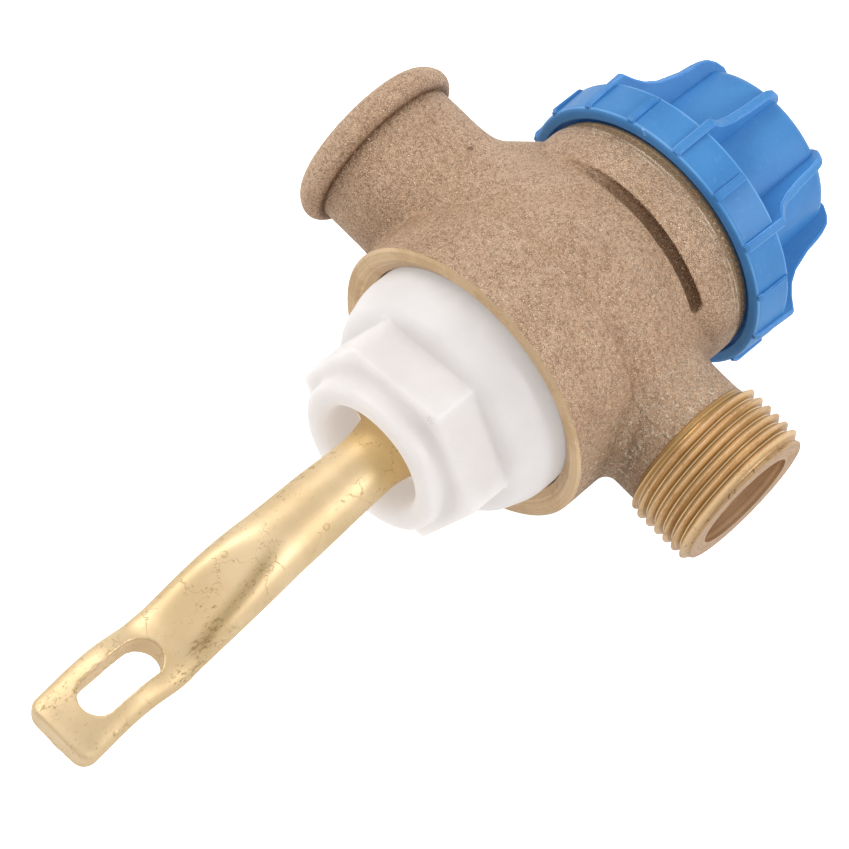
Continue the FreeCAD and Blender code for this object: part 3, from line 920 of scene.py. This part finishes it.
# %% Places on the lever
LEVER_FOOT = np.array([STEM_X + 0.15, -32.57, 0.0])         # mm, the middle of its flange
SWAY, DROOP = math.radians(1.1), math.radians(3.9)


def lever_place(points):
    """Side, distance from the flange and height on the lever, which hangs and sways a little; in mm."""
    x, y, z = (points - LEVER_FOOT).T
    side = x * math.cos(SWAY) + y * math.sin(SWAY)
    out = -x * math.sin(SWAY) + y * math.cos(SWAY)
    return side, -(out * math.cos(DROOP) + z * math.sin(DROOP)), z * math.cos(DROOP) - out * math.sin(DROOP)


def panel_share(points):
    """1 in the struck panel with its round head, fading to 0 at its edges and on the lower side."""
    side, far, height = lever_place(points)
    from_line = np.hypot(side - 0.3, np.maximum(0, 34.5 - far))
    return soft_step(from_line, 5.2, 2.0) * soft_step(far, 52.5, 49.5) * soft_step(height, -1.5, -0.5)


def blade_share(points):
    """1 along the flat between shank and slot, where the dies left no edge."""
    far = lever_place(points)[1]
    return soft_step(far, 24, 29) * soft_step(far, 53.0, 50.5)


def tip_share(points):
    """1 at the tip, past the slot, where the end was ground round."""
    return soft_step(lever_place(points)[1], 69.5, 72.0)


# %% Strike the panel
PANEL_DEPTH = 0.15      # mm

points = np.array([v.co for v in skin.vertices]) / MM
dent = panel_share(points)
points[:, 2] -= PANEL_DEPTH * dent
skin.vertices.foreach_set("co", (points * MM).ravel())
relax(skin, passes=50, weight=blade_share, push=0.0)
relax(skin, passes=160, weight=tip_share)
print("panel struck:", int((dent > 0.5).sum()), "points lowered")

# %% [markdown]
# ## Finish of the forged brass
#
# Years of shoes and oil left the brass pale, with brown stains, hair cracks and a few blisters. Each of them
# is a mask from the shared effects, laid over the base colour one after the other, and the bump uses the
# same masks, so that a crack is dark and deep in the same place. Painted shade lies as a soft dark band along
# the panel's outer edge, and painted shade and reflection turn the brass a deeper gold where it goes into
# the nut.

# %% Forged brass finish
NUT_SHADE_FROM, NUT_SHADE_TO = -46.5, -40.5           # y in mm over which the brass goes into the nut
# The band along the panel's outer edge, where painted shade lies and oil stains gather
EDGE_BAND_SLANT = 0.178                         # the panel's outer edge leans this much against Y
EDGE_BAND_IN, EDGE_BAND_OUT = 0.0300, 0.0342        # m across the lever
EDGE_BAND_FROM, EDGE_BAND_TO = -0.0870, -0.0610     # y in m
TIP_FROM, TIP_TO = -0.0880, -0.0940         # y in m over which oil gathers toward the tip


def make_forged_brass():
    material, tree, shader, place = start_finish("forged brass", Metallic=0.65)
    tone = clouds(tree, place, 60.0, 4.0, 0.6)
    colour = tint(tree, stretch(tree, tone, 0.35, 0.65), rgb(214, 188, 145), rgb(229, 204, 163))
    axis = parts_of(tree, place)
    x, y = axis["X"], axis["Y"]
    # Painted shade and painted reflection turn the brass a deeper gold where it goes into the nut
    nut_shade = stretch(tree, y, NUT_SHADE_FROM * MM, NUT_SHADE_TO * MM)
    colour = wash(tree, colour, nut_shade, 0.6, rgb(232, 196, 124))
    # Painted shade lies as a soft dark band along the panel's outer edge, where oil stains also gather;
    # thin oil patches lie elsewhere
    drawn_out = vector_calc(tree, "MULTIPLY", place, (1.0, 0.5, 1.0))
    fine = clouds(tree, drawn_out, 2400.0, 4.0, 0.7)
    patch = clouds(tree, drawn_out, 150.0, 3.0, 0.6)
    off_edge = calc(tree, "ADD", x, times(tree, y, EDGE_BAND_SLANT))
    edge_shade_and_oil = window(tree, off_edge, EDGE_BAND_IN, EDGE_BAND_OUT, 0.0021)
    edge_shade_and_oil = times(tree, edge_shade_and_oil, window(tree, y, EDGE_BAND_FROM, EDGE_BAND_TO, 0.007))
    colour = wash(tree, colour, edge_shade_and_oil, 0.55, rgb(156, 128, 76))
    thick = calc(tree, "ADD", times(tree, edge_shade_and_oil, 0.13), stretch(tree, patch, 0.48, 0.72, 0.0, 0.16))
    thick = calc(tree, "ADD", thick, stretch(tree, y, TIP_FROM, TIP_TO, 0.0, 0.05))
    stain = stretch(tree, calc(tree, "ADD", fine, thick), 0.64, 0.80)
    colour = wash(tree, colour, stain, 0.65, rgb(132, 104, 60))
    crack = use(tree, hair_cracks, Vector=place, Scale=210.0, Width=0.016)["Mask"]
    colour = wash(tree, colour, crack, 0.5, rgb(150, 114, 58))
    blister = use(tree, blisters, Vector=place, Scale=330.0)
    colour = wash(tree, colour, blister["Rim"], 0.5, rgb(190, 156, 90))
    feed(tree, colour, shader["Base Color"])
    gloss = stretch(tree, tone, 0.3, 0.7, 0.54, 0.46)
    feed(tree, calc(tree, "ADD", gloss, times(tree, stain, 0.2)), shader["Roughness"])
    pimple = raised(tree, blister["Height"], 0.10)
    rough = calc(tree, "SUBTRACT", times(tree, fine, 0.6), crack)
    feed(tree, raised(tree, rough, 0.03, pimple), shader["Normal"])
    return material


forged_brass = make_forged_brass()
forged_lever.data.materials.append(forged_brass)
print("finish:", forged_brass.name)

# %% [markdown]
# ## White moulded nut
#
# The nut is injection moulded in a milky plastic. The same relaxed skin gives it moulded radii, and its
# collar is relaxed further, without a push back, into one soft swell. Light goes a little way into such
# plastic, so its edges glow and its shadows are weak: subsurface scattering does that, and a faint painted
# glow of its own lifts the shadows further.

# %% Moulded nut
def collar_share(points):
    """1 behind the hexagon, where the collar swells in one soft curve."""
    y = points[:, 1]
    return soft_step(y, -28.8, -27.6) * soft_step(y, -21.6, -22.8)


moulded_nut = copy_of("lever_nut", "moulded_nut", "valve")
skin = skin_over(moulded_nut, voxel=0.36, passes=22)
relax(skin, passes=60, weight=collar_share, push=0.0)
print("nut skin:", len(skin.polygons), "faces")

# %% Milky plastic finish
GATE_SCAR = (0.04614, -0.0370, 0.01603)     # m, on the front of the hexagon


def make_white_plastic():
    # The emission is a painted glow that lifts the nut's shadows
    material, tree, shader, place = start_finish(
        "milky plastic", Subsurface_Weight=0.85, Subsurface_Radius=(1.0, 0.92, 0.84), Subsurface_Scale=0.014,
        Specular_IOR_Level=0.40, Emission_Color=(1.0, 0.985, 0.985, 1.0), Emission_Strength=0.31)
    cloud = clouds(tree, place, 110.0, 4.0, 0.55)
    colour = tint(tree, stretch(tree, cloud, 0.35, 0.65), rgb(176, 171, 170), rgb(182, 178, 177))
    speck = stretch(tree, clouds(tree, place, 900.0, 1.0), 0.80, 0.84)
    colour = wash(tree, colour, speck, 0.5, rgb(170, 165, 160))
    scuff = use(tree, hair_cracks, Vector=place, Scale=70.0, Width=0.006)["Mask"]
    colour = wash(tree, colour, scuff, 0.35, rgb(170, 166, 165))
    # Plastic flowed into the mould at one gate, which left a small scar
    scar = use(tree, spot, Vector=place, Centre=GATE_SCAR, Size=0.9 * MM, Ragged=0.35)["Mask"]
    scar = times(tree, scar, stretch(tree, clouds(tree, place, 3000.0, 2.0), 0.45, 0.55))
    feed(tree, wash(tree, colour, scar, 0.6, rgb(120, 116, 114)), shader["Base Color"])
    feed(tree, stretch(tree, cloud, 0.3, 0.7, 0.36, 0.50), shader["Roughness"])
    feed(tree, raised(tree, clouds(tree, place, 1500.0, 3.0), 0.006), shader["Normal"])
    return material


white_plastic = make_white_plastic()
moulded_nut.data.materials.append(white_plastic)
print("finish:", white_plastic.name)

# %% [markdown]
# ## Blue cap
#
# The cap is a turned shell with eight fins and eight short ribs. In CAD its edges are sharp. A moulding has a
# small radius on each, and those radii catch the light as pale lines, so the cap is built again here: a
# turned profile with rounded corners, and bevelled blades set round it. The rounded edges are marked on
# the way, to get a paler blue as a painted highlight.

# %% Turned shell
SHELL_SPOKES = 192


def turned_shell(shape, profile):
    """Adds a solid turned about the stem to a bmesh; profile is a closed list of (radius, y) in mm."""
    rings = []
    for k in range(SHELL_SPOKES):
        angle = 2 * math.pi * k / SHELL_SPOKES
        rings.append([shape.verts.new(((STEM_X + r * math.cos(angle)) * MM, y * MM, r * math.sin(angle) * MM))
                      for r, y in profile])
    count = len(profile)
    for k in range(SHELL_SPOKES):
        for j in range(count):
            here, there = rings[k], rings[(k + 1) % SHELL_SPOKES]
            shape.faces.new((here[j], there[j], there[(j + 1) % count], here[(j + 1) % count]))


def rounded(profile, radii, steps=4):
    """Replaces corners of a closed profile by short arcs; radii maps a corner's number to its radius."""
    made = []
    count = len(profile)
    for j, point in enumerate(profile):
        if j not in radii:
            made.append(point)
            continue
        here = Vector(point)
        before = Vector(profile[j - 1]) - here
        after = Vector(profile[(j + 1) % count]) - here
        cut = min(radii[j], before.length * 0.45, after.length * 0.45)
        first, last = here + before.normalized() * cut, here + after.normalized() * cut
        for k in range(steps + 1):
            t = k / steps
            made.append(tuple(first * (1 - t) ** 2 + here * 2 * t * (1 - t) + last * t ** 2))
    return made


# %% Bevelled blades
# The second blue is a painted highlight on the edges
PLAIN, HIGHLIT_EDGE = 0, 1        # places of the two blue finishes on the cap


def blade(profile, width, radius):
    """A flat blade with the profile as its sides and all its edges rounded, as a bmesh in mm at angle 0."""
    shape = bmesh.new()
    low = [shape.verts.new((r, y, -width / 2)) for r, y in profile]
    high = [shape.verts.new((r, y, width / 2)) for r, y in profile]
    shape.faces.new(low)
    shape.faces.new(list(reversed(high)))
    for j in range(len(profile)):
        n = (j + 1) % len(profile)
        shape.faces.new((low[n], low[j], high[j], high[n]))
    bmesh.ops.recalc_face_normals(shape, faces=shape.faces)
    rims = [e for e in shape.edges if abs(e.verts[0].co.z - e.verts[1].co.z) < 1e-6]
    edges = bmesh.ops.bevel(shape, geom=rims, offset=radius, segments=2, affect="EDGES", clamp_overlap=True)
    # The rounded edges take the paler blue, a painted highlight
    for face in edges["faces"]:
        face.material_index = HIGHLIT_EDGE
    return shape


def set_round(shape, source, degrees):
    """Adds a copy of a blade to a bmesh, turned about the stem from X toward Z."""
    angle = math.radians(degrees)
    made = {}
    for v in source.verts:
        r, y, w = v.co
        made[v] = shape.verts.new((
            (STEM_X + r * math.cos(angle) - w * math.sin(angle)) * MM, y * MM,
            (r * math.sin(angle) + w * math.cos(angle)) * MM))
    for face in source.faces:
        shape.faces.new([made[v] for v in face.verts]).material_index = face.material_index


# %% Profiles of the cap
# Each point is a distance from the stem and a y, in mm
shell_profile = rounded([
    (22.0, 21.6), (24.1, 21.6), (24.35, 28.7), (17.3, 29.1), (16.3, 29.9), (15.7, 46.7), (14.6, 48.0),
    (0.02, 48.0), (0.02, 45.2), (12.5, 45.2), (12.9, 26.8), (18.45, 26.8), (18.45, 22.8), (22.0, 22.8)],
    {0: 0.3, 1: 0.95, 2: 0.45, 3: 0.6, 4: 0.8, 5: 0.8, 6: 0.8})
fin_profile = [
    (12.8, 32), (12.8, 48.7), (14.2, 48.9), (15.0, 48.8), (16.6, 47.8), (17.7, 46.6), (18.2, 45.2),
    (18.55, 43.5), (18.9, 40.8), (20.1, 36.4), (21.5, 33.8), (23.1, 32.0), (25.2, 30.2), (25.2, 29.8),
    (24.8, 22.5), (24.3, 21.8), (23.0, 21.8), (23.0, 28.0), (15.0, 29.0)]
rib_profile = [(23.0, 21.8), (24.3, 21.8), (24.8, 22.5), (24.8, 28.0), (24.4, 28.4), (23.0, 28.4)]
print("cap profiles:", len(shell_profile), len(fin_profile), len(rib_profile), "points")

# %% Build the cap
FIRST_FIN, BLADES = 47.6, 8         # degrees from X toward Z, and how many fins or ribs go round
STEP_ROUND = 360 / BLADES
SKIRT_RADIUS = 23.75                # mm, the outer corners of the skirt lie beyond it

cap_shape = bmesh.new()
turned_shell(cap_shape, shell_profile)
# The skirt's outer corners take the paler blue, a painted highlight
for face in cap_shape.faces:
    x, y, z = face.calc_center_median() / MM
    on_corner = y < 22.0 or 28.3 < y < 28.95
    face.material_index = HIGHLIT_EDGE if math.hypot(x - STEM_X, z) > SKIRT_RADIUS and on_corner else PLAIN
for profile, offset, width, edge in ((fin_profile, 0, 1.6, 0.32), (rib_profile, STEP_ROUND / 2, 1.4, 0.22)):
    source = blade(profile, width, edge)
    for k in range(BLADES):
        set_round(cap_shape, source, FIRST_FIN + offset + STEP_ROUND * k)
    source.free()
bmesh.ops.recalc_face_normals(cap_shape, faces=cap_shape.faces)
cap_mesh = bpy.data.meshes.new("finned_cap")
cap_shape.to_mesh(cap_mesh)
cap_shape.free()
smooth_below(cap_mesh, 42)
print("cap:", len(cap_mesh.polygons), "faces")

# %% [markdown]
# ## Finish of the blue cap
#
# The cap's plastic is dyed right through, so scratches are only paler, never another colour. One recipe
# makes both blues, and the paler one is a painted highlight on the edges. Fine clouds give it the haze of
# handling, narrow corners get a painted deep-blue shade, and a faint painted blue glow lifts its shadows.

# %% Blue plastic finish
def make_blue_plastic(name, light, dark):
    # The emission is a painted blue glow that lifts the cap's shadows
    material, tree, shader, place = start_finish(
        name, Specular_IOR_Level=0.24, Emission_Color=(0.03, 0.2, 0.62, 1.0), Emission_Strength=0.07)
    cloud = clouds(tree, place, 90.0, 4.0, 0.55)
    colour = tint(tree, stretch(tree, cloud, 0.3, 0.7), dark, light)
    haze = stretch(tree, clouds(tree, place, 1400.0, 3.0, 0.7), 0.55, 0.75)
    colour = wash(tree, colour, haze, 0.12, rgb(150, 190, 235))
    nick = stretch(tree, clouds(tree, place, 520.0, 2.0, 0.7), 0.76, 0.80)
    colour = wash(tree, colour, nick, 0.35, rgb(190, 212, 240))
    # Painted shade: narrow corners, such as the one against the bronze rim, are darkened to a deep blue
    corner_shade = stretch(tree, openness(tree, 3 * MM), 0.60, 0.30)
    feed(tree, wash(tree, colour, corner_shade, 0.60, rgb(22, 70, 142)), shader["Base Color"])
    feed(tree, stretch(tree, cloud, 0.3, 0.7, 0.36, 0.46), shader["Roughness"])
    soft = raised(tree, clouds(tree, place, 240.0, 2.0), 0.06)
    feed(tree, raised(tree, clouds(tree, place, 2200.0, 3.0), 0.006, soft), shader["Normal"])
    return material


blue_plastic = make_blue_plastic("blue plastic", rgb(72, 134, 193), rgb(59, 121, 181))
highlit_blue = make_blue_plastic("blue plastic, painted edge highlight", rgb(112, 168, 222), rgb(76, 142, 204))
finned_cap = add_piece("finned_cap", cap_mesh, "valve", "blue_plastic", blue_plastic, highlit_blue)
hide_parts("cap")
even = finned_cap.modifiers.new("even shading", "WEIGHTED_NORMAL")
even.keep_sharp = True
print("finishes:", blue_plastic.name, "and", highlit_blue.name)

# %% [markdown]
# ## Pieces inside
#
# Seat, stem, spring and seals are hidden, but a part that is opened later should not show bare grey. They
# keep their CAD meshes and take simple, honest finishes. Only the spring changes its length when the valve
# opens; it gets a copy of its mesh as a piece of its own, but nothing here makes it shorter.

# %% Inner finishes
def make_inner(name, light, dark, metal, rough, scale):
    material, tree, shader, place = start_finish(name, Metallic=metal)
    cloud = clouds(tree, place, scale, 4.0, 0.6)
    feed(tree, tint(tree, stretch(tree, cloud, 0.3, 0.7), dark, light), shader["Base Color"])
    feed(tree, stretch(tree, cloud, 0.3, 0.7, rough + 0.08, rough - 0.05), shader["Roughness"])
    feed(tree, raised(tree, clouds(tree, place, scale * 8, 3.0), 0.01), shader["Normal"])
    return material


inner = {
    "turned_brass": make_inner("turned brass", rgb(232, 200, 140), rgb(200, 164, 104), 1.0, 0.28, 300.0),
    "stainless": make_inner("stainless steel", rgb(205, 205, 203), rgb(170, 170, 168), 1.0, 0.25, 300.0),
    "rubber": make_inner("black rubber", rgb(48, 48, 47), rgb(34, 34, 33), 0.0, 0.62, 500.0),
    "white_plastic": white_plastic,
}
print("inner finishes:", len(inner))

# The spring is replaced by a copy with a mesh of its own and the steel finish; nothing squashes it here
coil_spring = copy_of("return_spring", "coil_spring", "valve")
coil_spring.data.materials.append(inner["stainless"])
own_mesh(coil_spring)

# %% Dress the other inner pieces
slots = {row["node"]: row["material_slot"] for row in frame["record"]["subparts"]}
dressed = 0
for name, solid in frame["nodes"].items():
    if slots[name] in inner and not solid.hide_render:
        solid.data.materials.clear()
        solid.data.materials.append(inner[slots[name]])
        dressed += 1
print("inner pieces dressed:", dressed)

# %% [markdown]
# ## Finish of the floor
#
# The paper of a light tent looks burnt out to white in a photograph, while the light that it throws back on
# the object is mild. The Light Path node tells the two apart: rays from the camera see a strong glow, all
# other rays a weak one.

# %% Floor finish
GLOW, SEEN_GLOW = 0.14, 0.9


def make_pale_floor():
    material, tree, shader, place = start_finish("pale floor", Roughness=0.7, Emission_Color=(1, 1, 1, 1))
    cloud = clouds(tree, place, 6.0, 3.0)
    feed(tree, tint(tree, cloud, rgb(226, 226, 226), rgb(232, 232, 232)), shader["Base Color"])
    seen = tree.nodes.new("ShaderNodeLightPath").outputs["Is Camera Ray"]
    feed(tree, calc(tree, "ADD", GLOW, times(tree, seen, SEEN_GLOW)), shader["Emission Strength"])
    return material


pale_floor = make_pale_floor()
floor.data.materials.append(pale_floor)
print("finish:", pale_floor.name)
